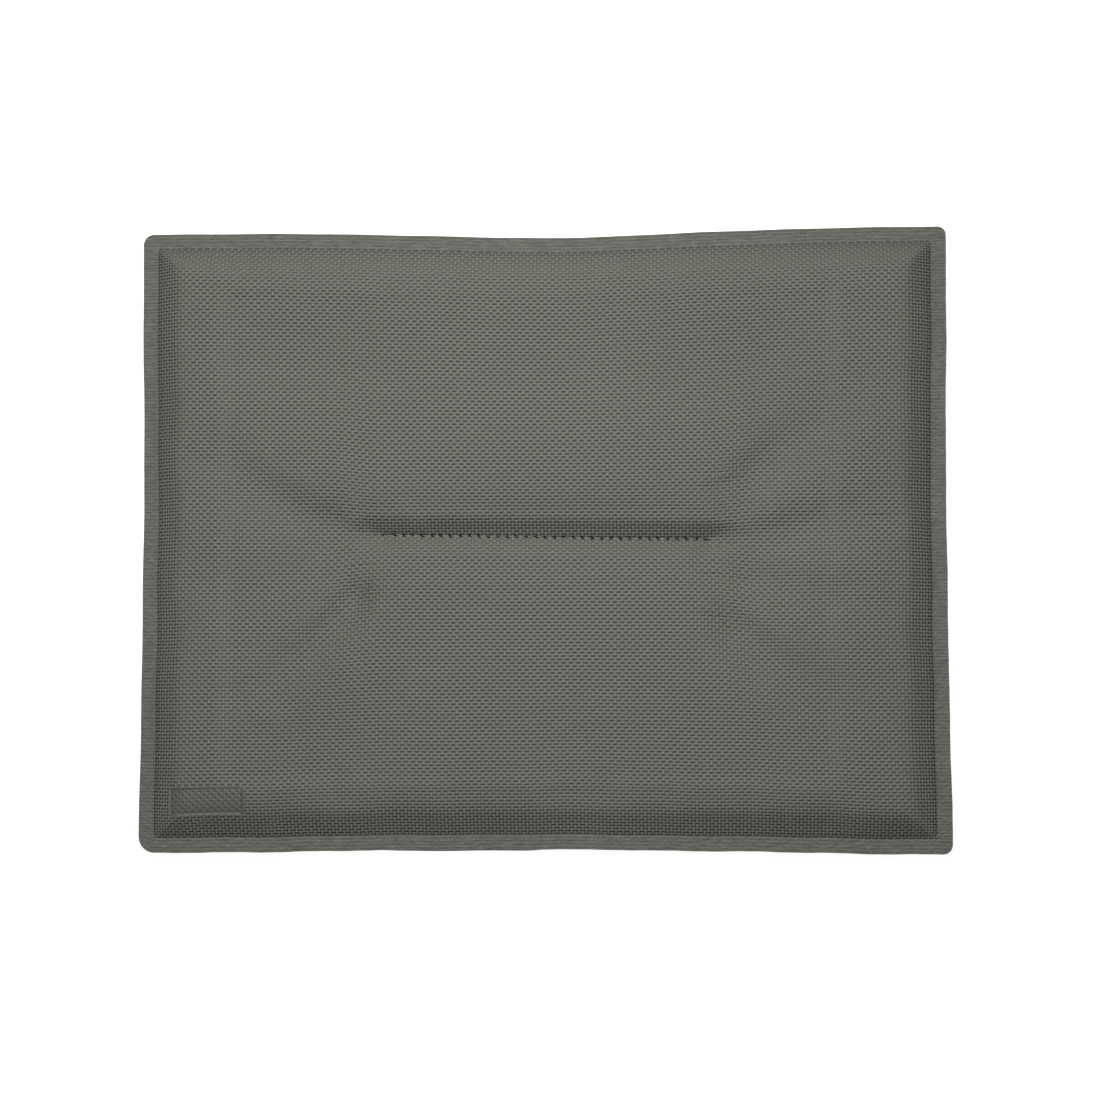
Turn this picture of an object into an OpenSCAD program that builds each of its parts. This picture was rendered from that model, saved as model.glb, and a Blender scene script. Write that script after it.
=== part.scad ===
// Thin outdoor kneeling pad: a foam slab between two sheets of vinyl-coated mesh.
// The sheets are welded together all round, and one short lockstitched line across the
// middle pulls both faces in.
//
// Frame: +X to the right, +Y to the back, +Z up out of the face that is used.
// The origin is at the centre of the footprint, on the plane that the underside rests on.
// Both faces are alike, so each half is drawn above the middle plane and then placed.

/* [Overall size] */
// Width of the pad along X, over the welded edge
pad_w = 380; // [320:2:480]
// Depth of the pad along Y, over the welded edge
pad_d = 294; // [240:2:360]
// Thickness of the padded field, face to face
pad_h = 18; // [18:1:26]
// Radius of the corners of the outline
corner_r = 6; // [2:0.5:12]

/* [Sheets and welded edge] */
// Thickness of each mesh sheet over the foam
sheet_t = 0.8; // [0.6:0.1:1]
// Thickness of each sheet where the weld has pressed it
pressed_t = 0.6; // [0.4:0.1:0.6]
// Thickness of the fused vinyl between the two sheets
weld_t = 0.3; // [0.2:0.1:0.6]
// Width of the welded edge
weld_w = 7.5; // [5:0.5:12]
// Distance from the weld over which each face rises to its full height
shoulder_w = 24; // [18:1:30]

/* [Foam] */
// Clearance between the foam and the sheets
foam_gap = 0.2; // [0.1:0.1:0.5]
// Distance by which the foam slab stops short of the weld
foam_inset = 5; // [3:0.5:8]

/* [Stitched line] */
// Length of one stitch
stitch = 4.5; // [3.5:0.5:6]
// Number of stitches in the line
stitches = 34; // [20:2:44]
// Depth of the valley that the line pulls into each face
valley_d = 6; // [4:0.5:6.5]
// Distance from the line to the far side of its valley
valley_w = 17; // [12:1:24]
// Diameter of the sewing thread
thread_d = 0.4; // [0.3:0.05:0.45]
// Distance of the line behind the middle of the pad
seam_back = 1.5; // [0:0.5:10]

/* [Maker's patch] */
// Width of the blank patch
patch_w = 36; // [20:1:40]
// Depth of the blank patch
patch_d = 14; // [10:1:20]
// Thickness of the blank patch
patch_t = 0.25; // [0.15:0.05:0.5]
// Distance from the left edge of the pad to the patch
patch_left = 15; // [9:1:40]
// Distance from the front edge of the pad to the patch
patch_front = 17; // [9:1:40]

/* [Hidden] */
$fn = 96;

// Heights above the middle plane of one half of the pad
field_z = pad_h / 2;
flange_z = weld_t / 2 + pressed_t;
floor_z = field_z - valley_d;

// A shoulder is an arc that meets the flat field smoothly and ends at the weld
shoulder_rise = field_z - flange_z;
shoulder_r = (shoulder_w * shoulder_w + shoulder_rise * shoulder_rise) / (2 * shoulder_rise);

// The valley has the same kind of arc on both sides of a narrow flat floor
floor_w = 2;
valley_run = valley_w - floor_w / 2;
valley_r = (valley_run * valley_run + valley_d * valley_d) / (2 * valley_d);

// The seam runs along X, with one needle hole more than it has stitches
seam_w = stitch * stitches;
hole_d = 1.4;

// Each stitch turns round the other thread in a loop of this centre-line radius
link_gap = 0.02;
loop_r = thread_d + link_gap;
loop_low = (thread_d + link_gap) / 2;
thread_top = floor_z + thread_d / 2 + link_gap;
loop_steps = 3;
thread_sides = 6;
bend = 0.2;

mesh_grey = "#676a61";
weld_grey = "#5f625a";
foam_white = "#d9d6c8";
thread_grey = "#7b7e74";

// Outline of the pad seen from above
module outline() {
    w = pad_w / 2 - corner_r;
    d = pad_d / 2 - corner_r;
    for (x = [-w, w], y = [-d, d])
        translate([x, y])
            circle(r = corner_r);
    square([2 * w, pad_d], center = true);
    square([pad_w, 2 * d], center = true);
}

// Section across a span of the half pad, drawn with its face at depth skin below the outside
module face_section(span, skin) {
    flat = span / 2 - weld_w - shoulder_w;
    translate([-flat, 0])
        square([2 * flat, field_z - skin]);
    for (side = [-1, 1])
        intersection() {
            translate([side * flat, field_z - shoulder_r])
                circle(r = shoulder_r - skin);
            translate([side > 0 ? 0 : -span / 2, 0])
                square([span / 2, field_z - skin]);
        }
}

// The domed half pad between the welds, with mitred corners as a flat sheet makes them
module dome(skin) {
    intersection() {
        rotate([90, 0, 0])
            linear_extrude(height = pad_d, center = true)
                face_section(pad_w, skin);
        rotate([90, 0, 90])
            linear_extrude(height = pad_w, center = true)
                face_section(pad_d, skin);
    }
}

// Right half of the section of the seam's valley, down to depth skin below the outside
module valley_section(skin) {
    difference() {
        translate([0, floor_z - skin])
            square([valley_w, valley_d + 2 * skin + 1]);
        translate([valley_w, field_z - valley_r])
            circle(r = valley_r - skin);
    }
}

// The valley along the seam, with a rounded end past the last needle hole
module valley(skin) {
    translate([0, seam_back, 0]) {
        rotate([90, 0, 90])
            linear_extrude(height = seam_w, center = true) {
                valley_section(skin);
                mirror([1, 0])
                    valley_section(skin);
            }
        for (side = [0, 180])
            rotate([0, 0, side])
                translate([seam_w / 2, 0, 0])
                    rotate([0, 0, -90])
                        rotate_extrude(angle = 180)
                            valley_section(skin);
    }
}

// Half of the padded volume, with its face at depth skin below the outside
module half_body(skin) {
    difference() {
        dome(skin);
        valley(skin);
    }
}

// Needle holes through everything, of diameter d
module needle_holes(d) {
    for (i = [0 : stitches])
        translate([i * stitch - seam_w / 2, seam_back, 0])
            cylinder(d = d, h = 3 * pad_h, center = true);
}

// One sheet, welded edge included, as half of the pad above the middle plane
module cover_half() {
    difference() {
        union() {
            half_body(0);
            linear_extrude(height = flange_z)
                outline();
        }
        half_body(sheet_t);
        translate([-pad_w, -pad_w, weld_t / 2 - pad_h])
            cube([2 * pad_w, 2 * pad_w, pad_h]);
        needle_holes(hole_d);
    }
}

// Puts a half above the middle plane, or below it as its mirror image
module upper_half() {
    translate([0, 0, field_z])
        children();
}

module lower_half() {
    translate([0, 0, field_z])
        mirror([0, 0, 1])
            children();
}

module top_cover() {
    color(mesh_grey)
        upper_half()
            cover_half();
}

module bottom_cover() {
    color(mesh_grey)
        lower_half()
            cover_half();
}

// Vinyl that has melted out of both sheets and set between them
module edge_weld() {
    color(weld_grey)
        upper_half()
            linear_extrude(height = weld_t, center = true)
                difference() {
                    outline();
                    square([pad_w - 2 * weld_w, pad_d - 2 * weld_w], center = true);
                }
}

module foam_core() {
    slab_w = pad_w - 2 * (weld_w + foam_inset);
    slab_d = pad_d - 2 * (weld_w + foam_inset);
    color(foam_white)
        difference() {
            intersection() {
                union() {
                    upper_half()
                        half_body(sheet_t + foam_gap);
                    lower_half()
                        half_body(sheet_t + foam_gap);
                }
                translate([0, 0, field_z])
                    cube([slab_w, slab_d, pad_h], center = true);
            }
            needle_holes(hole_d);
        }
}

// The thread goes down each needle hole, round the other thread and up again. Its loops
// stand at 45 degrees to the seam, and those of the other thread at -45 degrees.
function loop_point(x, along, z) = [x + along * sin(45), along * cos(45), z];

function loop_points(x) = [
    loop_point(x, -loop_r - bend, thread_top),
    loop_point(x, -loop_r, thread_top - bend),
    for (i = [0 : loop_steps])
        let (a = 180 + 180 * i / loop_steps)
            loop_point(x, loop_r * cos(a), loop_r - loop_low + loop_r * sin(a)),
    loop_point(x, loop_r, thread_top - bend),
    loop_point(x, loop_r + bend, thread_top),
];

thread_path = [
    for (i = [0 : stitches])
        each loop_points(i * stitch - seam_w / 2)
];

function unit(v) = v / norm(v);

// Direction of the path at point i
function heading(path, i) =
    let (last = len(path) - 1)
        unit(path[min(i + 1, last)] - path[max(i - 1, 0)]);

// Round strand along the path, whose loops all lie across the direction side
module strand(path, side = [-sin(45), cos(45), 0]) {
    n = thread_sides;
    last = len(path) - 1;
    rings = [
        for (i = [0 : last])
            let (u = unit(cross(heading(path, i), side)), v = cross(heading(path, i), u))
                for (k = [0 : n - 1])
                    path[i] + thread_d / 2 * (cos(360 * k / n) * u + sin(360 * k / n) * v)
    ];
    walls = [
        for (i = [0 : last - 1], k = [0 : n - 1])
            let (a = i * n + k, b = i * n + (k + 1) % n)
                each [[a, b, b + n], [a, b + n, a + n]]
    ];
    ends = [
        [for (k = [n - 1 : -1 : 0]) k],
        [for (k = [0 : n - 1]) last * n + k],
    ];
    polyhedron(points = rings, faces = concat(walls, ends));
}

module needle_thread() {
    color(thread_grey)
        translate([0, seam_back, field_z])
            strand(thread_path);
}

module bobbin_thread() {
    color(thread_grey)
        translate([0, seam_back, field_z])
            rotate([180, 0, 0])
                strand(thread_path);
}

// Blank film that is welded on the upper sheet in the front left corner
module label_patch() {
    color(mesh_grey)
        upper_half()
            intersection() {
                difference() {
                    dome(-patch_t);
                    dome(0);
                }
                translate([patch_left - pad_w / 2, patch_front - pad_d / 2, flange_z])
                    cube([patch_w, patch_d, pad_h]);
            }
}

top_cover();
bottom_cover();
edge_weld();
foam_core();
needle_thread();
bobbin_thread();
label_patch();
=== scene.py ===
"""Looks of the kneeling pad: two sheets of vinyl-coated mesh welded round a foam slab.

Lengths are metres in the frame of the CAD model. Each face of the pad is worked out in three
steps: its plain form (shoulders, valley of the stitched line, folds), a cloth simulation under
pressure that swells and relaxes that form, and the woven relief of the mesh on top.
"""

import math

import bmesh
import bpy
import numpy as np
from mathutils import Matrix, Vector


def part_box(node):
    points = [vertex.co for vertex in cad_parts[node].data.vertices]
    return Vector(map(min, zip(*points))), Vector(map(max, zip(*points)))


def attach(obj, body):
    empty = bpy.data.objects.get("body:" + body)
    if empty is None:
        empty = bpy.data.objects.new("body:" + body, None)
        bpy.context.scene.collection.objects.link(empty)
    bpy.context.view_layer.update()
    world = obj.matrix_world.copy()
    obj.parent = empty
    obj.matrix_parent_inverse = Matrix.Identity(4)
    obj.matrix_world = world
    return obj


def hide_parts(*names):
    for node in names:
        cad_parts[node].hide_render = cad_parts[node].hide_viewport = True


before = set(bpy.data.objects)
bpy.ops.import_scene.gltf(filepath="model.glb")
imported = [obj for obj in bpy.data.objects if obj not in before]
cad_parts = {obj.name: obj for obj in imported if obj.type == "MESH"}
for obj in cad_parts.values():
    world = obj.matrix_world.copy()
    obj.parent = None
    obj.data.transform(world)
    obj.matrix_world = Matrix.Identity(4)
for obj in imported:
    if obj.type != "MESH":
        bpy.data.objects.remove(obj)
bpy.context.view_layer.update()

MM = 0.001

# ---------------------------------------------------------------- sizes, from the CAD model

cover_low, cover_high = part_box("top_cover")
weld_low, weld_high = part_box("edge_weld")
seam_low, seam_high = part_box("needle_thread")
patch_low, patch_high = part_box("label_patch")

PAD_W = cover_high.x - cover_low.x
PAD_D = cover_high.y - cover_low.y
FIELD_Z = cover_high.z
MID_Z = (weld_low.z + weld_high.z) / 2
WELD_T = weld_high.z - weld_low.z
PRESSED_T = 0.6 * MM  # thickness of a sheet where the weld has pressed it
HALF_H = FIELD_Z - MID_Z
FLANGE_H = WELD_T / 2 + PRESSED_T
STITCHES = 34

# The stitched line lies a little off the middle and askew, as the photo shows it
SEAM_X = 1.3 * MM
SEAM_Y = (seam_low.y + seam_high.y) / 2 - 0.6 * MM
SEAM_TILT = -0.019
STITCH = 4.45 * MM
SEAM_HALF = STITCH * STITCHES / 2

WELD_W = 7 * MM
SHOULDER_RISE = HALF_H - FLANGE_H

# A shoulder leaves the weld as a straight slope, and then bends over to the flat field
SLOPE = 0.68
SLOPE_RUN = 7 * MM


def bend_run(slope, run, rise):
    """Length of the bend that ends at height rise after a straight slope of length run."""
    return 2 * (rise / slope - run)


def climb(d, slope, run, rise):
    """Height at distance d from the foot of a slope that bends over to the height rise."""
    bend = bend_run(slope, run, rise)
    past = np.clip(d - run, 0, bend)
    return slope * (np.clip(d, 0, run + bend) - past**2 / (2 * bend))


SHOULDER_W = SLOPE_RUN + bend_run(SLOPE, SLOPE_RUN, SHOULDER_RISE)


def shoulder_height(d):
    return climb(d, SLOPE, SLOPE_RUN, SHOULDER_RISE)


shoulder_d = np.linspace(0, SHOULDER_W, 400)
shoulder_arc = np.concatenate([[0], np.cumsum(
    np.hypot(np.diff(shoulder_d), np.diff(shoulder_height(shoulder_d)))
)])
SHOULDER_ARC = shoulder_arc[-1]

# The sheets are cut larger than the pad, because they climb over the shoulders
CUT_W = PAD_W + 2 * (SHOULDER_ARC - SHOULDER_W)
CUT_D = PAD_D + 2 * (SHOULDER_ARC - SHOULDER_W)

# Yarns of the plain weave: pitch across the warp (along X) and across the weft (along Y)
WARP_PITCH = 1.715 * MM
WEFT_PITCH = 1.57 * MM


# ---------------------------------------------------------------- small tools

def smooth(t):
    t = np.clip(t, 0, 1)
    return t * t * (3 - 2 * t)


def soft_min(a, b, k):
    """The lower of a and b, with the corner between them rounded over a height k."""
    h = np.clip(0.5 + 0.5 * (b - a) / k, 0, 1)
    return b + (a - b) * h - k * h * (1 - h)


def waves(x, y, count, shortest, longest, seed):
    """A gentle random relief of unit height, from plane waves of many directions."""
    r = np.random.default_rng(seed)
    total = np.zeros(np.broadcast(x, y).shape)
    for _ in range(count):
        angle = r.uniform(0, math.tau)
        length = r.uniform(shortest, longest)
        phase = r.uniform(0, math.tau)
        total += np.sin((x * math.cos(angle) + y * math.sin(angle)) * math.tau / length + phase)
    return total / math.sqrt(count)


def spline_weights(coarse, fine):
    """Matrix that takes values at evenly spaced coarse places to the fine places, smoothly."""
    n = len(coarse)
    u = (fine - coarse[0]) / (coarse[1] - coarse[0])
    i = np.clip(np.floor(u).astype(int), 0, n - 2)
    f = u - i
    taps = [
        -0.5 * f + f**2 - 0.5 * f**3,
        1 - 2.5 * f**2 + 1.5 * f**3,
        0.5 * f + 2 * f**2 - 1.5 * f**3,
        -0.5 * f**2 + 0.5 * f**3,
    ]
    m = np.zeros((len(fine), n))
    rows = np.arange(len(fine))
    for k, tap in enumerate(taps):
        np.add.at(m, (rows, np.clip(i + k - 1, 0, n - 1)), tap)
    return m


def normals_of(p):
    """Unit normals of a grid of points, which rises towards +Z where the grid lies flat."""
    n = np.cross(np.gradient(p, axis=1), np.gradient(p, axis=0))
    return n / np.maximum(np.linalg.norm(n, axis=2, keepdims=True), 1e-12)


# ---------------------------------------------------------------- plain form of one face

def place_along(s, cut, span):
    """Where a point at distance s from the middle of the cut sheet ends up across the pad."""
    from_weld = cut / 2 - WELD_W - np.abs(s)
    across = np.interp(from_weld, shoulder_arc, shoulder_d)
    across = np.where(from_weld < 0, from_weld, across)
    across = np.where(from_weld > SHOULDER_ARC, SHOULDER_W + from_weld - SHOULDER_ARC, across)
    return np.sign(s) * (span / 2 - WELD_W - across)


def shoulder(x, span):
    """Height of the shoulder above the welded edge, from 0 at the weld to its full rise."""
    return shoulder_height(span / 2 - WELD_W - np.abs(x))


# The valley has steep walls on both sides of the line
WALL_D = 5.7 * MM
WALL_SLOPE = 0.8
WALL_RUN = 4.2 * MM
VALLEY_FLOOR = 0.12 * MM

# The deepest that valley and folds together sink the field, and how softly they meet that
SINK_MOST = HALF_H - 1.7 * MM
SINK_SOFT = 0.6 * MM

# Past the last needle hole the valley runs out slowly
END_STRETCH = 0.42


def seam_y(x):
    """The y at which the stitched line runs, which stays level past its ends."""
    return SEAM_Y + SEAM_TILT * np.clip(x - SEAM_X, -SEAM_HALF, SEAM_HALF)


def past_seam(x):
    """How far x lies past the ends of the stitched line, negative between them."""
    return np.abs(x - SEAM_X) - SEAM_HALF


# Distance over the sheet, down one wall of the valley, by the distance across
wall_q = np.linspace(0, 20 * MM, 200)
wall_arc = np.concatenate([[0], np.cumsum(
    np.hypot(np.diff(wall_q), np.diff(climb(wall_q, WALL_SLOPE, WALL_RUN, WALL_D)))
)])

# The sheet is drawn in up to here, then less and less; past the line's ends it fades sooner
DRAW_FROM = 20 * MM
DRAW_FADE = 100 * MM
DRAW_END = 30 * MM


def drawn_in(x, y):
    """How far the sheet moves towards the stitched line because it goes down into the valley."""
    q = np.abs(y - seam_y(x))
    draw = np.interp(q, wall_arc, wall_arc - wall_q) * (1 - smooth((q - DRAW_FROM) / DRAW_FADE))
    return np.sign(y - seam_y(x)) * draw * (1 - smooth(past_seam(x) / DRAW_END))


def valley(x, y):
    """Depth of the valley that the stitched line pulls in."""
    q = np.hypot(y - seam_y(x), np.maximum(past_seam(x), 0) * END_STRETCH)
    q = np.sqrt(q**2 + VALLEY_FLOOR**2) - VALLEY_FLOOR
    return WALL_D - climb(q, WALL_SLOPE, WALL_RUN, WALL_D)


# Folds that run out from the ends of the stitched line. Each has its start, a point that bends
# it, its end, its depth, and its width at the start and at the end, all in millimetres.
FOLDS = [
    ((-76, 1), (-129, 8), (-157, 47), 5.2, 9, 14),
    ((-82, -16), (-94, -41), (-136, -72), 5.2, 7, 10),
    ((-88, -10), (-115, -15), (-160, -18), 3.4, 11, 17),
    ((83, 16), (112, 43), (160, 78), 4.2, 9, 13),
    ((80, -4), (112, 0), (154, 12), 5.6, 9, 13),
    ((86, -15), (112, -24), (152, -30), 4.8, 8, 11),
    ((82, -28), (100, -59), (150, -82), 4.9, 8.5, 13),
]

# Broad dents and swellings of the field: place along X and Y, depth, and half widths along X
# and Y, all in millimetres
DENTS = [
    (-118, 88, 3.2, 42, 22),
    (-15, 84, 1.1, 60, 24),
    (88, 84, 3.5, 58, 24),
    (25, -108, 1.6, 32, 26),
    (-105, -98, 2.0, 40, 26),
    (95, -100, 1.4, 44, 24),
    (-127, -84, -0.6, 7, 6),
]

# A fold is wider towards the front than towards the back. It deepens quickly over its first
# part, from a little above nothing, and then runs out.
FRONT_WIDER = 1.35
FOLD_START = 0.3
FOLD_LEAD = 0.1
FOLD_POINTS = 28


def fold_depth(x, y, fold):
    """Depth of one fold, which follows a curve of three points."""
    start, bend, end, depth, width_0, width_1 = fold
    t = np.linspace(0, 1, FOLD_POINTS)
    curve = [
        ((1 - t) ** 2 * a + 2 * t * (1 - t) * b + t**2 * c) * MM
        for a, b, c in zip(start, bend, end)
    ]
    deepest = np.zeros(x.shape)
    for u, cx, cy in zip(t, *curve):
        width = (width_0 + (width_1 - width_0) * u) * MM
        fade = (1 - u) ** 0.5 * smooth(u / FOLD_START + FOLD_LEAD)
        width = width * np.where(y > cy, 1, FRONT_WIDER)
        d2 = ((x - cx) ** 2 + (y - cy) ** 2) / width**2
        deepest = np.maximum(deepest, depth * MM * fade * np.exp(-d2))
    return deepest


# The field lies a little lower inside a rim: its sides at left, right, front and back
INNER = (-154 * MM, 141 * MM, -119 * MM, 121 * MM)
INNER_STEP = 9 * MM
INNER_SINK = 1.1 * MM


def inner(x, y):
    """1 inside the rim of the field and 0 outside it."""
    left, right, front, back = INNER
    sides = [(x - left), (right - x), (y - front), (back - y)]
    return math.prod(smooth(side / INNER_STEP) for side in sides)


def folds(x, y):
    """Depth of all folds, dents and the lower middle of the field together."""
    total = sum(fold_depth(x, y, f) for f in FOLDS) + INNER_SINK * inner(x, y)
    for cx, cy, depth, half_x, half_y in DENTS:
        far = ((x / MM - cx) / half_x) ** 2 + ((y / MM - cy) / half_y) ** 2
        total = total + depth * MM * np.exp(-far)
    return total


# How far each side draws in halfway along it, and the dip in the middle of the back
LEFT_IN = 0.7 * MM
RIGHT_IN = 1.2 * MM
FRONT_IN = 2.0 * MM
BACK_IN = 0.7 * MM
BACK_LEFT_OUT = 0.9 * MM
DIP_IN = 2.9 * MM
DIP_X = 8 * MM
DIP_HALF = 85 * MM
UNEVEN_X = 0.22 * MM
UNEVEN_Y = 0.2 * MM


def pulled_in(x, y):
    """How the sides draw in between the corners, as moves along X and Y."""
    right = smooth(x / (PAD_W / 2))
    left = smooth(-x / (PAD_W / 2))
    back = smooth(y / (PAD_D / 2))
    front = smooth(-y / (PAD_D / 2))
    across = np.cos(np.clip(y / PAD_D, -0.5, 0.5) * math.pi) ** 1.5
    along = np.cos(np.clip(x / PAD_W, -0.5, 0.5) * math.pi) ** 1.5
    dip = np.exp(-(((x - DIP_X) / DIP_HALF) ** 2)) * along
    dx = left * across * LEFT_IN - right * across * RIGHT_IN - left * back * BACK_LEFT_OUT
    dy = front * along * FRONT_IN - back * (dip * DIP_IN + along * BACK_IN)
    # Two slow waves of unlike length make each side a little uneven
    uneven_x = UNEVEN_X * np.sin(x / (9 * MM)) * np.sin(x / (23 * MM) + 1)
    uneven_y = UNEVEN_Y * np.sin(y / (12 * MM)) * np.sin(y / (31 * MM) + 2)
    return dx + (left - right) * uneven_y, dy + (front - back * 0.6) * uneven_x


# Radii of the outline's corners, by their sides along X and Y
CORNERS = {(-1, -1): 7.5 * MM, (1, -1): 4.5 * MM, (-1, 1): 5 * MM, (1, 1): 4 * MM}


def rounded(x, y, half_x, half_y, radii):
    """Brings the square corners of a grid onto round ones, whose radii go by their sides."""
    for (side_x, side_y), radius in radii.items():
        a = np.clip((x * side_x - half_x) / radius + 1, 0, None)
        b = np.clip((y * side_y - half_y) / radius + 1, 0, None)
        both = (a > 0) & (b > 0)
        scale = np.where(both, np.maximum(a, b) / np.maximum(np.hypot(a, b), 1e-9), 1)
        x = x - side_x * a * (1 - scale) * radius
        y = y - side_y * b * (1 - scale) * radius
    return x, y


# Over this height two shoulders run into each other at a corner
CORNER_SOFT = 2.2 * MM

# The folds of the face that the pad lies on are this much shallower
LYING_CALM = 0.7


def face_form(s, t, lying):
    """Points of one face, above the middle plane, for places s, t on the cut sheet.

    lying is 0 for the upper face and 1 for the face that the pad lies on."""
    x = place_along(s, CUT_W, PAD_W)
    y = place_along(t, CUT_D, PAD_D)
    y = y - drawn_in(x, y)
    rise = soft_min(shoulder(x, PAD_W), shoulder(y, PAD_D), CORNER_SOFT)
    full = np.clip(rise / SHOULDER_RISE, 0, 1)
    z = FLANGE_H + np.maximum(rise, 0)
    sink = valley(x, y) + smooth(full) * folds(x, y) * (1 - LYING_CALM * lying)
    z = z - full * soft_min(sink, SINK_MOST, SINK_SOFT)
    dx, dy = pulled_in(x, y)
    if lying:
        dy = dy - slipped(x, y)
    x, y = rounded(x, y, PAD_W / 2, PAD_D / 2, CORNERS)
    return np.stack([x + dx, y + dy, z], axis=-1)


# The lower sheet shows past the upper one along this part of the front edge
SLIP = 0.45 * MM
SLIP_FROM = -78 * MM
SLIP_TO = 4 * MM
SLIP_FADE = 12 * MM


def slipped(x, y):
    """How far the lower sheet was laid out of line."""
    window = smooth((x - SLIP_FROM) / SLIP_FADE) * smooth((SLIP_TO - x) / SLIP_FADE)
    return SLIP * window * smooth(-y / (PAD_D / 2))


# ---------------------------------------------------------------- cloth simulation of both faces

# The simulation runs on a coarse grid, held in the weld and along the stitched line. What it
# moves is capped, and its smallest wrinkles are softened away.
SIM_STEP = 4 * MM
SIM_FRAMES = 20
SWELL_CAP = 1.7 * MM
PIN_BAND = WELD_W + 1 * MM
PIN_PAST_SEAM = 2 * MM
SOFTENINGS = 5

sim_s = np.linspace(-CUT_W / 2, CUT_W / 2, round(CUT_W / SIM_STEP) + 1)
sim_t = np.linspace(-CUT_D / 2, CUT_D / 2, round(CUT_D / SIM_STEP) + 1)


def grid_quads(rows, cols, start=0, flip=False):
    """Faces of a grid of points, numbered from start; flip turns them over."""
    i = np.arange(rows * cols).reshape(rows, cols) + start
    quads = np.stack([i[:-1, :-1], i[:-1, 1:], i[1:, 1:], i[1:, :-1]], axis=-1).reshape(-1, 4)
    return quads[:, ::-1] if flip else quads


def mesh_of(name, points, quads, tris=None):
    """A mesh from arrays, with smooth faces. It is quick for a great many points."""
    faces = [quads] if tris is None else [quads, tris]
    corners = np.concatenate([f.ravel() for f in faces]).astype(np.int32)
    sizes = np.concatenate([np.full(len(f), f.shape[1]) for f in faces])
    starts = np.concatenate([[0], np.cumsum(sizes)[:-1]]).astype(np.int32)
    mesh = bpy.data.meshes.new(name)
    mesh.vertices.add(len(points))
    mesh.vertices.foreach_set("co", np.ascontiguousarray(points, np.float32).ravel())
    mesh.loops.add(len(corners))
    mesh.loops.foreach_set("vertex_index", corners)
    mesh.polygons.add(len(sizes))
    mesh.polygons.foreach_set("loop_start", starts)
    mesh.polygons.foreach_set("use_smooth", np.ones(len(sizes), bool))
    mesh.update(calc_edges=True)
    return mesh


def linked(name, mesh):
    """A new piece with this mesh, in the scene."""
    piece = bpy.data.objects.new(name, mesh)
    bpy.context.scene.collection.objects.link(piece)
    return piece


def softened(moved, held):
    """The moves of one face averaged with those round them, without its smallest wrinkles."""
    for _ in range(SOFTENINGS):
        m = np.pad(moved, ((1, 1), (1, 1), (0, 0)), mode="edge")
        moved = (m[:-2, 1:-1] + m[2:, 1:-1] + m[1:-1, :-2] + m[1:-1, 2:] + 4 * moved) / 8
        moved[held] = 0
    return moved


def swollen_faces():
    """How far the pressure of the foam moves each face from its plain form, on the coarse grid."""
    s, t = np.meshgrid(sim_s, sim_t)
    over, under = face_form(s, t, 0), face_form(s, t, 1)
    under = under * [1, 1, -1]
    n = s.size
    start = np.concatenate([over.reshape(-1, 3), under.reshape(-1, 3)])
    shape = s.shape
    quads = np.concatenate([grid_quads(*shape), grid_quads(*shape, n, flip=True)])
    sheet = linked("cloth_work", mesh_of("cloth_work", start, quads))

    edge = np.minimum(CUT_W / 2 - np.abs(s), CUT_D / 2 - np.abs(t))
    in_seam = (past_seam(s) < PIN_PAST_SEAM) & (np.abs(t - seam_y(s)) < SIM_STEP)
    held = (edge < PIN_BAND) | in_seam
    pins = sheet.vertex_groups.new(name="held")
    for at in (0, n):
        pins.add([int(i) for i in np.flatnonzero(held.ravel()) + at], 1.0, "REPLACE")

    cloth = sheet.modifiers.new("Cloth", "CLOTH")
    cloth.settings.quality = 5
    cloth.settings.mass = 0.2
    cloth.settings.tension_stiffness = 30
    cloth.settings.compression_stiffness = 20
    cloth.settings.shear_stiffness = 8
    cloth.settings.bending_stiffness = 4
    cloth.settings.use_pressure = True
    cloth.settings.uniform_pressure_force = 4
    cloth.settings.effector_weights.gravity = 0
    cloth.settings.vertex_group_mass = "held"
    cloth.settings.shrink_min = -0.003
    cloth.point_cache.frame_start = 1
    cloth.point_cache.frame_end = SIM_FRAMES
    for f in range(1, SIM_FRAMES + 1):
        bpy.context.scene.frame_set(f)
    done = sheet.evaluated_get(bpy.context.evaluated_depsgraph_get())
    moved = np.zeros(2 * n * 3, np.float32)
    done.data.vertices.foreach_get("co", moved)
    moved = moved.reshape(-1, 3) - start
    bpy.data.objects.remove(sheet)
    bpy.context.scene.frame_set(1)
    far = np.linalg.norm(moved, axis=1, keepdims=True)
    moved = moved * SWELL_CAP * np.tanh(far / SWELL_CAP) / np.maximum(far, 1e-9)
    return [softened(half.reshape(*shape, 3), held) for half in (moved[:n], moved[n:])]


swell_over, swell_under = swollen_faces()


# ---------------------------------------------------------------- woven relief of the mesh

WARP_YARNS = round(CUT_W / WARP_PITCH)
WEFT_YARNS = round(CUT_D / WEFT_PITCH)
warp_step = CUT_W / WARP_YARNS
weft_step = CUT_D / WEFT_YARNS

# Places of the mesh's points within one pitch: on the yarn, at its two edges and in the gap
ACROSS_WARP = np.array([0.0, 0.31, 0.5, 0.69])
ACROSS_WEFT = np.array([0.0, 0.30, 0.49, 0.62])

# The weft is wide and flat. HALF is half its width in pitches, WAVE how far it rises and
# falls over the warp, SQUARE how square that wave is (1 for a plain wave), CROWN how round the
# yarn is, and LEAN and ARCH make its humps lopsided.
WEFT_HALF = 0.47
WEFT_WAVE = 0.22 * MM
WEFT_SQUARE = 0.7
WEFT_CROWN = 0.80 * MM
WEFT_LEAN = 0.65
WEFT_ARCH = 0.5

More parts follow.
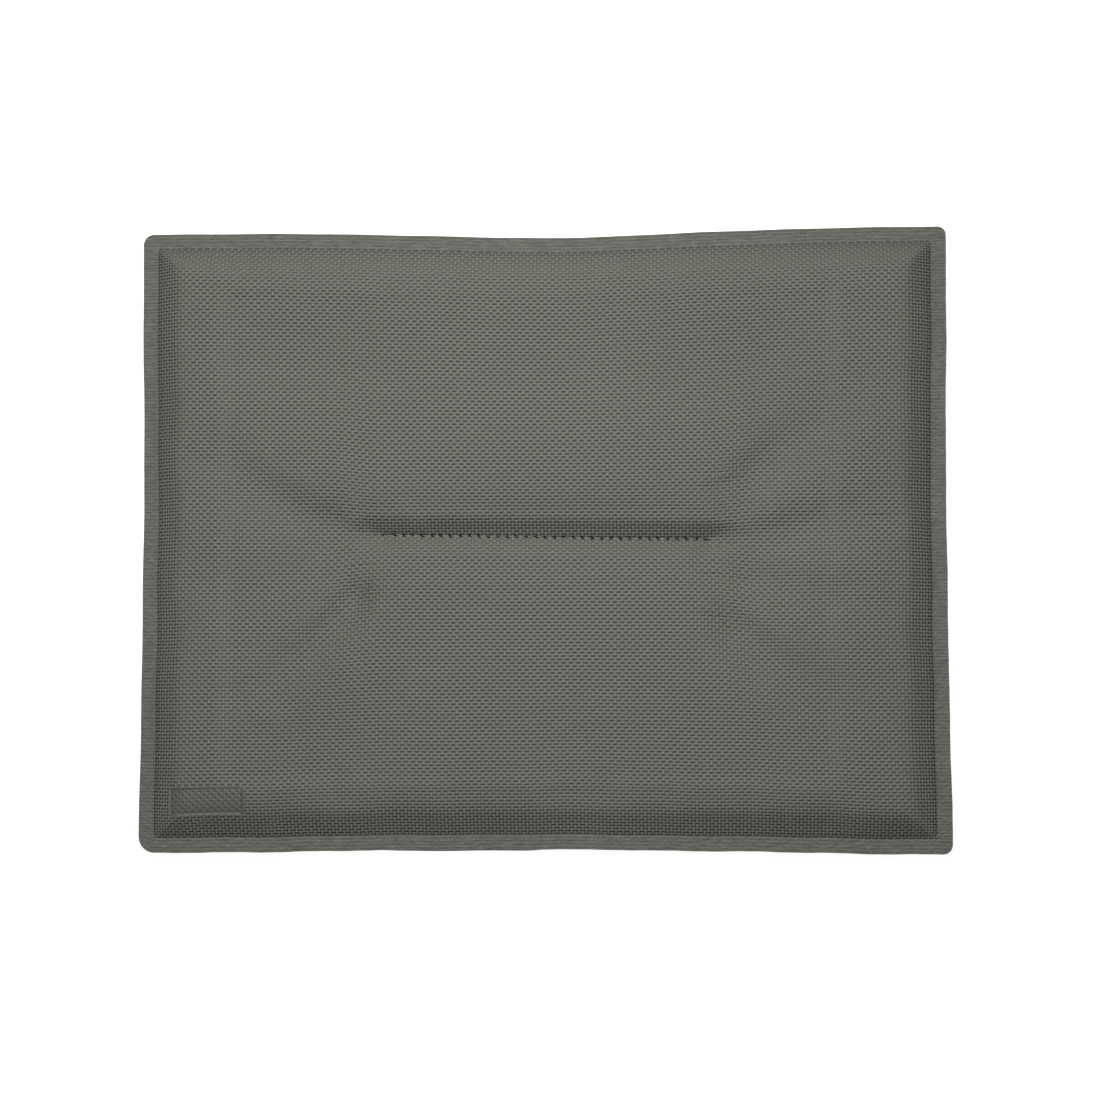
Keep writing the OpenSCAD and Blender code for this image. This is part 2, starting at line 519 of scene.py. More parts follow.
# The warp bends sharply over the weft, and each of its humps leans to the front: it rises
# gently from behind and ends steeply.
WARP_HALF = 0.42
WARP_WAVE = 0.50 * MM
WARP_LEAN = 0.22 * MM
WARP_LOW = -0.165 * MM
WARP_CROWN = 0.27 * MM

# Heights between the yarns, and the mean height, which lies on the middle of the sheet
LOWEST = -0.45 * MM
GAP_LOW = -0.12 * MM
HIGHEST = WARP_LOW + WARP_WAVE
MEAN_Z = 0.12 * MM

# Down to yarn_places the values are colour only: how light or dark the material shows the
# weave. They were set by comparing the shading with the photo's. Much of it is painted light
# and shade. The gaps are painted darker where the sheet faces the front, away from the light,
# and a little where it faces sideways. The weave is painted lighter where the sheet faces the
# back, towards the light. Beside the weld the gaps are darker too, partly because the sheet's
# strain opens them and partly as painted shade.
WELD_STRAIN_AND_SHADE = 0.38
STRAIN_REACH = 6 * MM
SHADE_FROM = 0.05
SHADE_TILT = 0.45
SHADE_SIDES = 0.1
SHADE_FRONT = 0.9
GAP_SHADE_DARK = 0.55
LIGHT_FACING_TILT = 0.5
PAINTED_LIGHT = 0.17

# Where the sheet bends down sideways, the weave is painted as a net: yarns lifted by painted light
# round square gaps darkened by painted shade. Where the weld presses it, the weave shows as lines
# along the weft.
NET_TILT = 0.4
NET_FULL = 0.85
GAP_FROM = 0.19
GAP_RUN = 0.16
LINE_LOW = 0.3
LINE_HIGH = 1.0

# How quickly painted shade darkens the colour into a needle hole
HOLE_DARK = 2.4


def yarn_places(s, t):
    """Places across the warp and the weft, in pitches. Whole numbers lie on a yarn."""
    return (s + CUT_W / 2) / warp_step, (t + CUT_D / 2) / weft_step


def painted_gap_shade(normal, from_weld):
    """How much the gaps of the weave are darkened, from 0 to 1: painted shade where the sheet faces
    away from the light, and beside the weld real strain and painted shade.
    """
    tilt = SHADE_SIDES * np.hypot(normal[..., 0], normal[..., 1]) - SHADE_FRONT * normal[..., 1]
    strain_and_shade = WELD_STRAIN_AND_SHADE * np.exp(-((from_weld / STRAIN_REACH) ** 2))
    return np.maximum(smooth((tilt - SHADE_FROM) / SHADE_TILT), strain_and_shade)


def painted_weave_light_and_shade(lift, s, t, normal, from_weld, pressed, pit):
    """Lightness of the weave, from 0 in a gap to 1 on a crown, from the height of its yarns, with
    painted light and shade by which way the sheet faces.
    """
    # Painted light where the sheet faces the back, towards the light. Painted shade in the gaps
    # where it faces away from it, and beside the weld.
    closed = PAINTED_LIGHT * np.clip(normal[..., 1] / LIGHT_FACING_TILT, 0, 1)
    painted_dark = GAP_SHADE_DARK * painted_gap_shade(normal, from_weld)
    lift = lift + (closed - painted_dark) * (1 - lift)

    u, v = yarn_places(s, t)
    du, dv = u - np.round(u), v - np.round(v)
    # On sideways slopes: painted light on the yarns and painted shade in the square gaps.
    net = np.clip(np.abs(normal[..., 0]) / NET_TILT, 0, 1)
    gap = smooth((np.abs(du) - GAP_FROM) / GAP_RUN) * smooth((np.abs(dv) - GAP_FROM) / GAP_RUN)
    lift = lift + NET_FULL * net * (1 - lift)
    lift = lift * (1 - net * gap)

    line = LINE_LOW + (LINE_HIGH - LINE_LOW) * (0.5 + 0.5 * np.cos(math.tau * dv))
    lift = lift + pressed * (line - lift)
    # Painted shade in the needle holes.
    return lift * (1 - smooth(pit * HOLE_DARK))


def yarn_lines(count, step, cut, in_pitch):
    """Lines of the fine grid: the same places within every pitch, over the whole cut sheet."""
    places = (np.arange(count)[:, None] + in_pitch[None, :]).ravel() * step - cut / 2
    return np.append(places, cut / 2)


fine_s = yarn_lines(WARP_YARNS, warp_step, CUT_W, ACROSS_WARP)
fine_t = yarn_lines(WEFT_YARNS, weft_step, CUT_D, ACROSS_WEFT)


def weave(s, t):
    """Height of the plain weave at each place."""
    u, v = yarn_places(s, t)
    i, j = np.round(u), np.round(v)
    du, dv = u - i, v - j

    over = np.cos(math.pi * u) * np.where(j % 2 == 0, 1, -1)
    weft = WEFT_WAVE * np.sign(over) * np.abs(over) ** WEFT_SQUARE
    arch = 1 + WEFT_ARCH * (1 - over**2) * (dv > 0)
    weft = weft - WEFT_CROWN * arch * dv**2 * (1 + WEFT_LEAN * np.sign(dv))
    weft = np.where(np.abs(dv) < WEFT_HALF, weft, LOWEST)

    side = np.where(i % 2 == 0, -1, 1)
    warp = WARP_LOW + side * (WARP_WAVE * np.cos(math.pi * v) + WARP_LEAN * np.sin(math.pi * v))
    crown = 1 - np.sqrt(np.clip(1 - (du / WARP_HALF) ** 2, 0, None))
    warp = np.where(np.abs(du) < WARP_HALF, warp - WARP_CROWN * crown, LOWEST)
    bridged = np.where(np.abs(du) < WARP_HALF, LOWEST, GAP_LOW)
    return np.maximum(np.maximum(weft, warp), bridged) - MEAN_Z


# The needle holes, as shallow pits in both sheets. They don't lie quite in line.
HOLE_HALF_X = 0.9 * MM
HOLE_HALF_Y = 0.42 * MM
HOLE_DEPTH = 1.5 * MM
HOLE_OFF_X = 0.3  # in millimetres, like the next
HOLE_OFF_Y = 0.25
hole_x = SEAM_X - SEAM_HALF + np.arange(STITCHES + 1) * STITCH
hole_random = np.random.default_rng(11)
hole_x = hole_x + hole_random.uniform(-HOLE_OFF_X, HOLE_OFF_X, len(hole_x)) * MM
hole_y = seam_y(hole_x) + hole_random.uniform(-HOLE_OFF_Y, HOLE_OFF_Y, len(hole_x)) * MM


def needle_pits(x, y):
    """How deep each place lies in a needle hole, from 0 outside to 1 at its middle."""
    k = np.clip(np.round((x - SEAM_X + SEAM_HALF) / STITCH).astype(int), 0, STITCHES)
    far = ((x - hole_x[k]) / HOLE_HALF_X) ** 2 + ((y - hole_y[k]) / HOLE_HALF_Y) ** 2
    return np.exp(-far)


def cut_place(x, cut, span):
    """The place on the cut sheet that ends up at x across the pad."""
    s = np.linspace(-cut / 2, cut / 2, 4001)
    return float(np.interp(x, place_along(s, cut, span), s))


# The place of the patch on the cut sheet, which is pressed down a little under it
patch_s = [cut_place(x, CUT_W, PAD_W) for x in (patch_low.x, patch_high.x)]
patch_t = [cut_place(y, CUT_D, PAD_D) for y in (patch_low.y, patch_high.y)]
PATCH_PRESS = -0.65 * MM
PATCH_RIM = 0.2 * MM
PATCH_FADE = 0.7 * MM


def inside_patch(s, t):
    """Distance inside the rim of the patch, negative outside it."""
    return np.minimum(
        np.minimum(s - patch_s[0], patch_s[1] - s), np.minimum(t - patch_t[0], patch_t[1] - t)
    )


def base_of(s, t, lying, swell):
    """The middle surface of one face, with its swelling, at any places s, t in a grid."""
    base = face_form(s, t, lying)
    across, along = spline_weights(sim_s, s[0]), spline_weights(sim_t, t[:, 0])
    for k in range(3):
        base[..., k] += along @ swell[..., k] @ across.T
    return base


# The weld presses the weave nearly flat and smears it. Beside it the sheet is creased, and
# its yarns stand out a little more.
PRESS_FROM = 0.5 * MM
PRESS_FADE = 1.0 * MM
PRESS_FLAT = 0.72
SMEAR = 0.06 * MM
SMEAR_NARROW = 2.2
SMEAR_WAVES = 60
SMEAR_SHORTEST = 2 * MM
SMEAR_LONGEST = 7 * MM
CREASE_AT = 1.2 * MM
CREASE_HALF = 1.1 * MM
CREASE_LIFT = 0.25


def face_points(lying, swell):
    """The finished points of one face above the middle plane, with values for the material."""
    s, t = np.meshgrid(fine_s, fine_t)
    base = base_of(s, t, lying, swell)
    normal = normals_of(base)
    height = weave(s, t)
    edge = np.minimum(CUT_W / 2 - np.abs(s), CUT_D / 2 - np.abs(t))
    pressed = 1 - smooth((edge - WELD_W + PRESS_FROM) / PRESS_FADE)
    crease = np.exp(-(((edge - WELD_W - CREASE_AT) / CREASE_HALF) ** 2))
    smeared = SMEAR * waves(
        s, t * SMEAR_NARROW, SMEAR_WAVES, SMEAR_SHORTEST, SMEAR_LONGEST, seed=21
    )
    relief = height * (1 + CREASE_LIFT * crease) * (1 - PRESS_FLAT * pressed) + smeared * pressed
    pit = needle_pits(s, t)
    relief = relief - HOLE_DEPTH * pit
    if not lying:
        zone = smooth((inside_patch(s, t) - PATCH_RIM) / PATCH_FADE)
        relief = relief + (PATCH_PRESS - relief) * zone
    points = base + normal * relief[..., None]
    # The lower a place lies in the weave, the darker its colour: painted shade in the gaps.
    lift = (height + MEAN_Z - LOWEST) / (HIGHEST - LOWEST)
    values = {
        "height": painted_weave_light_and_shade(lift, s, t, normal, edge - WELD_W, pressed, pit),
        "pressed": pressed,
        "crease": crease,
    }
    return points, values, s, t


def padded_rim(a):
    """Repeats the outermost points of a grid once more all round."""
    return np.pad(a, [(1, 1), (1, 1)] + [(0, 0)] * (a.ndim - 2), mode="edge")


# The sheet fills its UV map up to a thin margin
MAP_MARGIN = 0.002
MAP_SPAN = 0.996


def flat_map(mesh, s, t):
    """A UV map of the sheet as it was cut, named OFBake."""
    u = (s / CUT_W + 0.5) * MAP_SPAN + MAP_MARGIN
    v = (t / CUT_D + 0.5) * MAP_SPAN + MAP_MARGIN
    at = np.stack([u, v], axis=-1).reshape(-1, 2)
    corners = np.zeros(len(mesh.loops), np.int32)
    mesh.loops.foreach_get("vertex_index", corners)
    layer = mesh.uv_layers.new(name="OFBake")
    layer.data.foreach_set("uv", at[corners].astype(np.float32).ravel())


SHARP_ANGLE = math.radians(85)


def cover(name, node, lying, swell):
    """One woven sheet. Its rim is turned down by the sheet's thickness, so its cut edge shows."""
    points, values, s, t = face_points(lying, swell)
    points, s, t = padded_rim(points), padded_rim(s), padded_rim(t)
    rim = np.ones(points.shape[:2], bool)
    rim[1:-1, 1:-1] = False
    points[rim, 2] -= PRESSED_T
    points[..., 2] = MID_Z - points[..., 2] if lying else MID_Z + points[..., 2]
    if lying:
        points[..., 2] = np.maximum(points[..., 2], 0)
    rows, cols = points.shape[:2]
    mesh = mesh_of(name, points.reshape(-1, 3), grid_quads(rows, cols, flip=bool(lying)))
    mesh.set_sharp_from_angle(angle=SHARP_ANGLE)
    flat_map(mesh, s, t)
    for key, value in values.items():
        layer = mesh.attributes.new(key, "FLOAT", "POINT")
        layer.data.foreach_set("value", padded_rim(value).astype(np.float32).ravel())
    piece = linked(name, mesh)
    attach(piece, "root")
    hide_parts(node)
    return piece


# ---------------------------------------------------------------- materials

class Nodes:
    """Short ways to add and join nodes in one material."""

    def __init__(self, name):
        self.material = bpy.data.materials.new(name)
        self.material.use_nodes = True
        self.tree = self.material.node_tree
        self.shader = self.tree.nodes["Principled BSDF"]

    def add(self, kind, **values):
        node = self.tree.nodes.new(kind)
        for key, value in values.items():
            setattr(node, key, value)
        return node

    def join(self, a, b):
        self.tree.links.new(a, b)

    def attribute(self, name):
        return self.add("ShaderNodeAttribute", attribute_name=name).outputs["Fac"]

    def ramp(self, value, stops):
        node = self.add("ShaderNodeValToRGB")
        while len(node.color_ramp.elements) < len(stops):
            node.color_ramp.elements.new(0.5)
        for element, (place, colour) in zip(node.color_ramp.elements, stops):
            element.position = place
            element.color = (*colour, 1)
        self.join(value, node.inputs["Fac"])
        return node.outputs["Color"]

    def noise(self, scale, detail=2, vector=None):
        node = self.add("ShaderNodeTexNoise")
        node.inputs["Scale"].default_value = scale
        node.inputs["Detail"].default_value = detail
        place = vector or self.add("ShaderNodeTexCoord").outputs["Object"]
        self.join(place, node.inputs["Vector"])
        return node.outputs["Fac"]

    def stretched(self, scale):
        """Object coordinates, scaled by a different amount along each axis."""
        node = self.add("ShaderNodeMapping")
        node.inputs["Scale"].default_value = scale
        self.join(self.add("ShaderNodeTexCoord").outputs["Object"], node.inputs["Vector"])
        return node.outputs["Vector"]

    def mix(self, a, b, factor, blend="MIX"):
        node = self.add("ShaderNodeMix", data_type="RGBA", blend_type=blend)
        for socket, value in ((6, a), (7, b), (0, factor)):
            if isinstance(value, tuple):
                node.inputs[socket].default_value = (*value, 1)
            elif isinstance(value, (int, float)):
                node.inputs[socket].default_value = value
            else:
                self.join(value, node.inputs[socket])
        return node.outputs[2]

    def spread(self, value, low, high):
        """Takes a value from 0..1 to low..high."""
        node = self.add("ShaderNodeMapRange")
        node.inputs["To Min"].default_value = low
        node.inputs["To Max"].default_value = high
        self.join(value, node.inputs["Value"])
        return node.outputs["Result"]

    def bump(self, value, strength, distance):
        node = self.add("ShaderNodeBump")
        node.inputs["Strength"].default_value = strength
        node.inputs["Distance"].default_value = distance
        self.join(value, node.inputs["Height"])
        self.join(node.outputs["Normal"], self.shader.inputs["Normal"])


# How much of the pressed weave is covered by streaks, how much painted shade darkens the crease
# beside the weld, and how much rougher than the weave the weld is
STREAKS = 0.55
CREASE_SHADE = 0.45
WELD_ROUGH = 0.18


def mesh_material():
    """Vinyl whose colour goes by the lightness of the weave, from gaps made black by painted shade
    to light crowns.

    The fine noises vary its tint and its gloss a little, and give it a grain."""
    m = Nodes("vinyl_mesh")
    # Near black in the gaps: painted shade.
    base = m.ramp(
        m.attribute("height"),
        [(0.0, (0.004, 0.004, 0.004)), (0.25, (0.034, 0.037, 0.030)),
         (0.52, (0.088, 0.094, 0.077)), (0.88, (0.108, 0.116, 0.095)),
         (1.0, (0.160, 0.171, 0.142))],
    )
    streaks = m.ramp(
        m.noise(1, 4, m.stretched((260, 1500, 1500))),
        [(0.3, (0.044, 0.047, 0.039)), (0.52, (0.098, 0.105, 0.088)),
         (0.72, (0.150, 0.160, 0.134))],
    )
    pressed = m.mix(base, streaks, m.spread(m.attribute("pressed"), 0, STREAKS))
    # Painted shade in the crease beside the weld.
    creased = m.spread(m.attribute("crease"), 0, CREASE_SHADE)
    dark = m.mix(pressed, (0.8, 0.8, 0.8), creased, "MULTIPLY")
    tint = m.mix(dark, m.spread(m.noise(14, 3), 0.93, 1.07), 1.0, "MULTIPLY")
    m.join(tint, m.shader.inputs["Base Color"])
    rough = m.add("ShaderNodeMath", operation="MULTIPLY_ADD")
    m.join(m.attribute("pressed"), rough.inputs[0])
    rough.inputs[1].default_value = WELD_ROUGH
    m.join(m.spread(m.noise(900, 2), 0.46, 0.62), rough.inputs[2])
    m.join(rough.outputs[0], m.shader.inputs["Roughness"])
    m.bump(m.noise(2600, 3), 0.25, 0.05 * MM)
    m.shader.inputs["Specular IOR Level"].default_value = 0.35
    return m.material


vinyl = mesh_material()
top = cover("top_sheet", "top_cover", 0, swell_over)
bottom = cover("bottom_sheet", "bottom_cover", 1, swell_under)
for piece in (top, bottom):
    piece.data.materials.append(vinyl)


# ---------------------------------------------------------------- foam

# The foam lies this far under the middle surface of both sheets, more so under the stitches,
# and is never thinner than twice FOAM_THIN
FOAM_STEP = 2 * MM
FOAM_INSET = 6 * MM
FOAM_UNDER_SHEET = 1.5 * MM
FOAM_UNDER_SEAM = 1.4 * MM
FOAM_SEAM_HALF = 3 * MM
FOAM_ROUGH = 0.12 * MM
FOAM_WAVES = 24
FOAM_SHORTEST = 3 * MM
FOAM_LONGEST = 9 * MM
FOAM_THIN = 0.35 * MM


def foam():
    """The foam slab: two faces that follow the sheets, joined by a wall all round."""
    half_w, half_d = CUT_W / 2 - WELD_W - FOAM_INSET, CUT_D / 2 - WELD_W - FOAM_INSET
    s, t = np.meshgrid(
        np.linspace(-half_w, half_w, round(2 * half_w / FOAM_STEP)),
        np.linspace(-half_d, half_d, round(2 * half_d / FOAM_STEP)),
    )
    faces = []
    for lying, swell in ((0, swell_over), (1, swell_under)):
        face = base_of(s, t, lying, swell) - [0, 0, FOAM_UNDER_SHEET]
        z = face[..., 2] - FOAM_UNDER_SEAM * np.exp(-(((t - seam_y(s)) / FOAM_SEAM_HALF) ** 2))
        z = z + FOAM_ROUGH * waves(
            s, t, FOAM_WAVES, FOAM_SHORTEST, FOAM_LONGEST, seed=5 + lying
        )
        z = np.maximum(z, FOAM_THIN)
        if lying:
            z = np.minimum(z, HALF_H - FOAM_UNDER_SHEET)
        face[..., 2] = MID_Z + z * (-1 if lying else 1)
        faces.append(face)
    rows, cols = s.shape
    n = rows * cols
    i = np.arange(n).reshape(rows, cols)
    ring = np.concatenate([i[0, :-1], i[:-1, -1], i[-1, :0:-1], i[:0:-1, 0]])
    after = np.roll(ring, -1)
    wall = np.stack([ring + n, after + n, after, ring], axis=-1)
    quads = np.concatenate([grid_quads(rows, cols), grid_quads(rows, cols, n, flip=True), wall])
    points = np.concatenate([f.reshape(-1, 3) for f in faces])
    piece = linked("foam_slab", mesh_of("foam_slab", points, quads))
    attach(piece, "root")
    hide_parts("foam_core")

    m = Nodes("open_cell_foam")
    cells = m.add("ShaderNodeTexVoronoi")
    cells.inputs["Scale"].default_value = 1400
    m.join(m.add("ShaderNodeTexCoord").outputs["Object"], cells.inputs["Vector"])
    # The foam is darker in the hollows of its cells: painted shade.
    colour = m.ramp(
        cells.outputs["Distance"], [(0.0, (0.42, 0.40, 0.33)), (0.6, (0.74, 0.72, 0.62))]
    )
    m.join(m.mix(colour, m.spread(m.noise(60), 0.94, 1.04), 1.0, "MULTIPLY"),
           m.shader.inputs["Base Color"])
    m.join(m.spread(m.noise(500), 0.85, 1.0), m.shader.inputs["Roughness"])
    m.bump(cells.outputs["Distance"], 0.6, 0.3 * MM)
    piece.data.materials.append(m.material)


foam()


# ---------------------------------------------------------------- welded edge

WELD_STEP = 1.5 * MM
SQUEEZED = 0.12 * MM
SQUEEZED_SHARE = 0.6
BEAD = 0.6 * MM

# Corners of the band's section: how far inside the cut edge, as a share of its width, and how
# high, as a share of its thickness. The first three stand out past the edge as a bead, by that
# share of BEAD.
WELD_SECTION = [(-0.05, -0.5), (-0.2, 0), (-0.05, 0.5), (0.9, 0.42), (0.9, -0.42)]


def side_points(a, b):
    """Evenly spaced points from a up to, but not including, b."""
    n = round(math.dist(a, b) / WELD_STEP)
    f = np.arange(n) / n
    return np.stack([a[0] + (b[0] - a[0]) * f, a[1] + (b[1] - a[1]) * f], axis=-1)


def weld():
    """The fused band between the sheets, a little uneven where it has squeezed out."""
    w, d = CUT_W / 2, CUT_D / 2
    corners = [(-w, -d), (w, -d), (w, d), (-w, d)]
    ring = np.concatenate([side_points(corners[k], corners[(k + 1) % 4]) for k in range(4)])
    around = np.arange(len(ring)) * WELD_STEP
    squeezed = SQUEEZED * np.sin(around / (7 * MM)) * np.sin(around / (3.1 * MM) + 1)
    sections = []
    for inset, z in WELD_SECTION:
        shrink = 1 - inset * WELD_W / np.array([w, d])
        if inset < 0:
            out = BEAD * -inset + squeezed[:, None] * SQUEEZED_SHARE
            shrink = 1 + out / np.array([w, d])
        at = ring * shrink
        p = face_form(at[:, 0], at[:, 1], 0)
        p[:, 2] = MID_Z + z * WELD_T
        sections.append(p)
    n = len(ring)
    points = np.concatenate(sections)
    quads = []
    for k in range(len(sections)):
        a = np.arange(n) + k * n
        b = np.arange(n) + (k + 1) % len(sections) * n
        quads.append(np.stack([a, np.roll(a, -1), np.roll(b, -1), b], axis=-1))
    piece = linked("fused_edge", mesh_of("fused_edge", points, np.concatenate(quads)))
    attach(piece, "root")
    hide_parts("edge_weld")

    m = Nodes("fused_vinyl")
    colour = m.ramp(m.noise(300, 3), [(0.3, (0.10, 0.108, 0.090)), (0.7, (0.15, 0.161, 0.137))])
    m.join(colour, m.shader.inputs["Base Color"])
    m.join(m.spread(m.noise(700), 0.35, 0.55), m.shader.inputs["Roughness"])
    m.bump(m.noise(900, 3), 0.4, 0.1 * MM)
    piece.data.materials.append(m.material)


weld()


# ---------------------------------------------------------------- stitched line

THREAD_R = 0.23 * MM
THREAD_SIDES = 10
PLIES = 3
PLY_DEEP = 0.16
TWIST_TURN = 2.4 * MM

# At each hole the two threads loop round each other, a little off the middle plane. Between
# holes they lie on the sheets: LIE_AT are shares of a stitch, SWAY is how far it may lie to
# either side, in millimetres, and near its ends it sinks into the holes.
LOOP_R = 0.42 * MM
LOOP_OFF = 0.2 * MM
LOOP_POINTS = 7
THREAD_LIE = -0.02 * MM
SWAY = (-0.25, 0.1)
LIE_AT = (0.05, 0.18, 0.5, 0.82, 0.95)
SINK_WITHIN = 0.22
SINK_TURN = 2.2
PATH_FINER = 3


def tube(path, radius):
    """A three-ply twisted strand along a path, closed at both ends."""
    step = np.diff(path, axis=0)
    length = np.concatenate([[0], np.cumsum(np.linalg.norm(step, axis=1))])
    along = np.gradient(path, axis=0)
    along /= np.linalg.norm(along, axis=1, keepdims=True)
    side = np.zeros_like(path)
    side[0] = np.cross(along[0], (0.3, 1, 0.2))
    for k in range(len(path)):
        last = side[max(k - 1, 0)]
        side[k] = last - along[k] * np.dot(last, along[k])
        side[k] /= np.linalg.norm(side[k])
    other = np.cross(along, side)
    angle = np.arange(THREAD_SIDES) / THREAD_SIDES * math.tau
    twist = angle[None, :] - length[:, None] * math.tau / TWIST_TURN
    plies = 1 + PLY_DEEP * np.cos(PLIES * twist)
    r = radius * plies[..., None]
    ring = path[:, None] + r * (
        side[:, None] * np.cos(angle)[None, :, None] + other[:, None] * np.sin(angle)[None, :, None]
    )
    n, k = ring.shape[:2]
    i = np.arange(n * k).reshape(n, k)
    walls = np.stack([i[:-1], np.roll(i[:-1], -1, 1), np.roll(i[1:], -1, 1), i[1:]], axis=-1)
    points = np.concatenate([ring.reshape(-1, 3), path[:1], path[-1:]])
    first = np.stack([np.roll(i[0], -1), i[0], np.full(k, n * k)], axis=-1)
    last = np.stack([i[-1], np.roll(i[-1], -1), np.full(k, n * k + 1)], axis=-1)
    return points, walls.reshape(-1, 4), np.concatenate([first, last])


def stitch_path(lying):
    """Down each needle hole, round the other thread, and over the surface to the next hole."""
    points = []
    # The loops of the two threads stand across one another, each at 45 degrees to the line
    turn_side = -1 if lying else 1
    turn = (math.sin(math.pi / 4) * turn_side, math.cos(math.pi / 4))
    r = np.random.default_rng(12 + lying)
    surface = face_form(hole_x, seam_y(hole_x), lying)[:, 2]
    for k, (x, y, top_z) in enumerate(zip(hole_x, hole_y, surface)):
        for a in np.linspace(math.pi, math.tau, LOOP_POINTS):
            across, z = LOOP_R * math.cos(a), LOOP_OFF + LOOP_R * math.sin(a)
            points.append((x + across * turn[0], y + across * turn[1], z))
        points.append((x + LOOP_R * turn[0], y + LOOP_R * turn[1], top_z * 0.5))
        if k < STITCHES:
            start = np.array([x + LOOP_R * turn[0], y + LOOP_R * turn[1], top_z])
            end = np.array([hole_x[k + 1] - LOOP_R * turn[0], hole_y[k + 1] - LOOP_R * turn[1],
                            surface[k + 1]])
            sway = r.uniform(*SWAY) * MM
            for f in LIE_AT:
                near = min(f, 1 - f)
                sunk = 1 - math.sin(near * math.pi * SINK_TURN) if near < SINK_WITHIN else 0
                on_top = start + (end - start) * f
                on_top += [0, sway, THREAD_LIE - 2 * THREAD_R * sunk]
                points.append(tuple(on_top))
            points.append((end[0], end[1], end[2] * 0.5))
    p = np.array(points)
    fine = np.linspace(0, len(p) - 1, (len(p) - 1) * PATH_FINER + 1)
    even = np.arange(len(p), dtype=float)
    return spline_weights(even, fine) @ p


def threads():
    """The needle thread over the top sheet and the bobbin thread under the bottom sheet."""
    m = Nodes("sewing_thread")
    colour = m.ramp(m.noise(1500), [(0.3, (0.12, 0.129, 0.108)), (0.7, (0.16, 0.171, 0.146))])
    m.join(colour, m.shader.inputs["Base Color"])
    m.join(m.spread(m.noise(2000), 0.38, 0.55), m.shader.inputs["Roughness"])
    m.bump(m.noise(5000), 0.4, 0.05 * MM)
    for name, node, lying in (
        ("needle_strand", "needle_thread", 0), ("bobbin_strand", "bobbin_thread", 1)
    ):
        path = stitch_path(lying)
        path[:, 2] = MID_Z + path[:, 2] * (-1 if lying else 1)
        piece = linked(name, mesh_of(name, *tube(path, THREAD_R)))
        piece.data.materials.append(m.material)
        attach(piece, "root")
        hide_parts(node)


threads()


# ---------------------------------------------------------------- blank patch

PATCH_STEP = 0.2 * MM
PATCH_CORNER = 2.2 * MM
FILM_LOW = -0.35 * MM
FILM_RIM = 0.16 * MM
RIM_W = 0.6 * MM
RIM_FADE = 0.7 * MM
DIMPLE = 0.22 * MM
DOT_SHARP = 1.5

# The film's own edge goes down into the mesh
EDGE_DOWN = 0.6 * MM
EDGE_RUN = 0.45 * MM


def brick_dots(s, t):
    """Soft dots over the gaps of the weave, in its brick order."""
    u, v = yarn_places(s, t)
    return np.clip(np.cos(math.pi * u) * np.sin(math.pi * v), 0, None) ** DOT_SHARP


def patch():
    """A film welded into the mesh: it lies low inside its rim, and the weave shows as dimples."""
    s, t = np.meshgrid(
        np.linspace(*patch_s, round((patch_s[1] - patch_s[0]) / PATCH_STEP)),
        np.linspace(*patch_t, round((patch_t[1] - patch_t[0]) / PATCH_STEP)),
    )
    rim = inside_patch(s, t)
    middle_s, middle_t = sum(patch_s) / 2, sum(patch_t) / 2
    radii = {(a, b): PATCH_CORNER for a in (-1, 1) for b in (-1, 1)}
    x, y = rounded(s - middle_s, t - middle_t, s[0, -1] - middle_s, t[-1, 0] - middle_t, radii)
    to_corner = np.stack([x + middle_s - s, y + middle_t - t, 0 * s], axis=-1)
    base = base_of(s, t, 0, swell_over) + to_corner
    normal = normals_of(base)
    inside = smooth((rim - RIM_W) / RIM_FADE)
    dots = brick_dots(s, t) * inside
    film = FILM_RIM + (FILM_LOW - FILM_RIM) * inside - DIMPLE * dots
    film = film - EDGE_DOWN * (1 - smooth(rim / EDGE_RUN))
    points = base + normal * film[..., None]
    points[..., 2] += MID_Z
    mesh = mesh_of("blank_patch", points.reshape(-1, 3), grid_quads(*s.shape))
    layer = mesh.attributes.new("dimple", "FLOAT", "POINT")
    layer.data.foreach_set("value", dots.astype(np.float32).ravel())
    piece = linked("blank_patch", mesh)
    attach(piece, "root")
    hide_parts("label_patch")

    m = Nodes("vinyl_film")
    # The film is darker in its dimples over the weave's gaps: painted shade.
    colour = m.mix((0.073, 0.078, 0.065), (0.034, 0.037, 0.030), m.attribute("dimple"))
    m.join(m.mix(colour, m.spread(m.noise(120), 0.92, 1.08), 1.0, "MULTIPLY"),
           m.shader.inputs["Base Color"])
    m.join(m.spread(m.noise(900), 0.42, 0.56), m.shader.inputs["Roughness"])
    m.bump(m.noise(1800), 0.2, 0.05 * MM)
    mesh.materials.append(m.material)


patch()


# ---------------------------------------------------------------- floor, light and camera

# The floor glows, so that it is as white in the picture as the photo's ground. SKY is the
# strength of the white light from all round.
FLOOR_HALF = 3
FLOOR_Z = -0.2 * MM
FLOOR_GLOW = 0.9
SKY = 0.2
KEY_PLACE = (-0.03, 0.172, 0.72)
KEY_SIZE = 0.32
KEY_POWER = 6.35


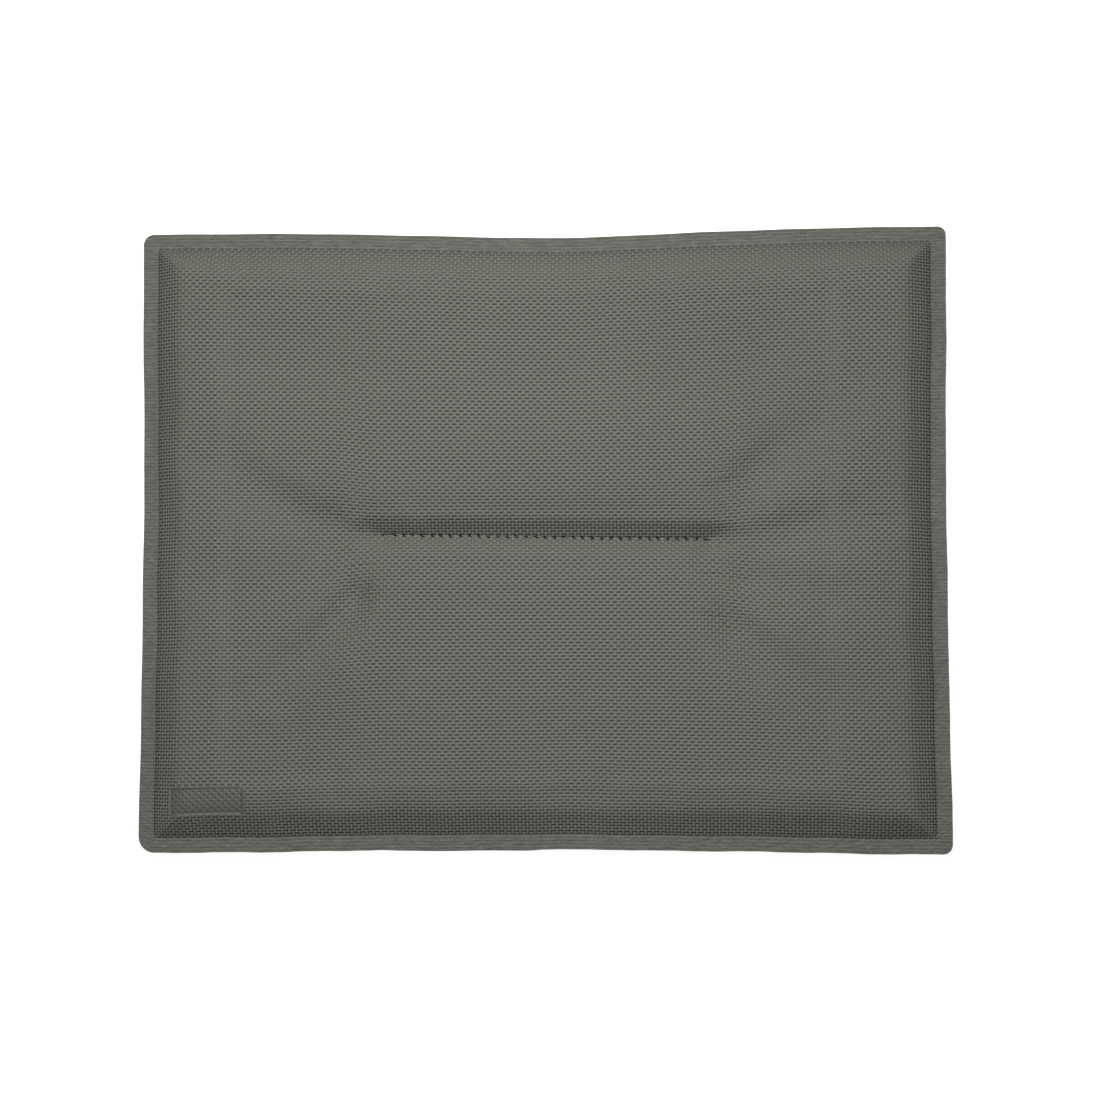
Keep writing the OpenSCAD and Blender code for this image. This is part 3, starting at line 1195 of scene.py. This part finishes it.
def stage():
    """The floor under the pad."""
    bm = bmesh.new()
    bmesh.ops.create_grid(bm, x_segments=1, y_segments=1, size=FLOOR_HALF)
    mesh = bpy.data.meshes.new("floor")
    bm.to_mesh(mesh)
    bm.free()
    floor = linked("floor", mesh)
    floor.location.z = FLOOR_Z
    m = Nodes("floor")
    m.shader.inputs["Base Color"].default_value = (0.5, 0.5, 0.5, 1)
    m.shader.inputs["Roughness"].default_value = 0.9
    m.shader.inputs["Emission Color"].default_value = (1, 1, 1, 1)
    m.shader.inputs["Emission Strength"].default_value = FLOOR_GLOW
    mesh.materials.append(m.material)


def area_light(name, place, size, power):
    """A round light that faces the middle of the pad."""
    light = bpy.data.lights.new(name, "AREA")
    light.shape = "DISK"
    light.size = size
    light.energy = power
    lamp = bpy.data.objects.new(name, light)
    lamp.location = place
    lamp.rotation_euler = (-lamp.location).to_track_quat("-Z", "Y").to_euler()
    bpy.context.scene.collection.objects.link(lamp)


stage()
area_light("key", KEY_PLACE, KEY_SIZE, KEY_POWER)
world = bpy.data.worlds.new("studio")
bpy.context.scene.world = world
world.use_nodes = True
world.node_tree.nodes["Background"].inputs["Color"].default_value = (1, 1, 1, 1)
world.node_tree.nodes["Background"].inputs["Strength"].default_value = SKY
bpy.context.scene.view_settings.view_transform = "Standard"

# The camera looks down from nearly overhead, a little from the front and the right. VIEW_W is
# what it sees across at the distance CAMERA_FAR.
CAMERA_FAR = 1.25
CAMERA_PLACE = (0.0695, -0.1015, CAMERA_FAR)
LOOK_AT = (0.0035, -0.0050, MID_Z)
VIEW_W = 0.5187
SENSOR_W = 36

camera = bpy.data.objects.new("camera", bpy.data.cameras.new("camera"))
bpy.context.scene.collection.objects.link(camera)
bpy.context.scene.camera = camera
camera.data.sensor_width = SENSOR_W
camera.data.lens = SENSOR_W * CAMERA_FAR / VIEW_W
camera.location = CAMERA_PLACE
back = (camera.location - Vector(LOOK_AT)).normalized()
right = Vector((0, 1, 0)).cross(back).normalized()
up = back.cross(right)
camera.rotation_euler = Matrix((right, up, back)).transposed().to_euler()
